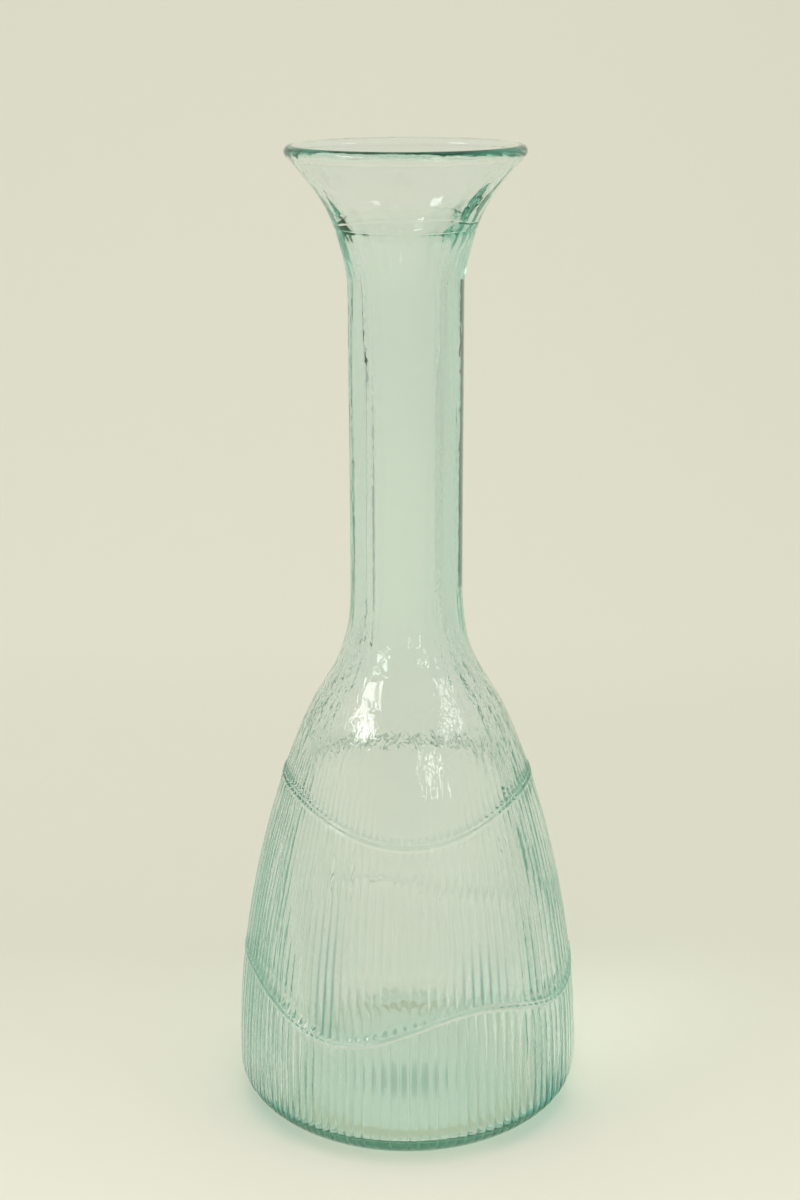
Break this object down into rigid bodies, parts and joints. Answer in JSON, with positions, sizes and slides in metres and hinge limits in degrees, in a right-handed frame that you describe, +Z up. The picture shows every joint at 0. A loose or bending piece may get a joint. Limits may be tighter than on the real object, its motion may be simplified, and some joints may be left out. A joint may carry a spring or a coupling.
{
  "type": "bottle vase",
  "caption": "Bottle-shaped glass vase with a flared mouth, a straight neck and a ribbed body crossed by raised wavy ridges; holds cut stems in water.",
  "frame": {"origin": "on the axis, in the plane that the vase stands on", "axes": "+Z up along the vase's axis, -Y towards the viewer of the picture, +X to the viewer's right"},
  "size_m": [0.1204, 0.1204, 0.33],
  "materials": {
    "aqua_glass": "clear gloss"
  },
  "bodies": {
    "root": {"base": "aqua_glass", "heel": "aqua_glass", "lower_body": "aqua_glass", "upper_body": "aqua_glass", "shoulder": "aqua_glass", "neck": "aqua_glass", "collar": "aqua_glass", "flared_mouth": "aqua_glass", "lip": "aqua_glass"}
  },
  "joints": []
}
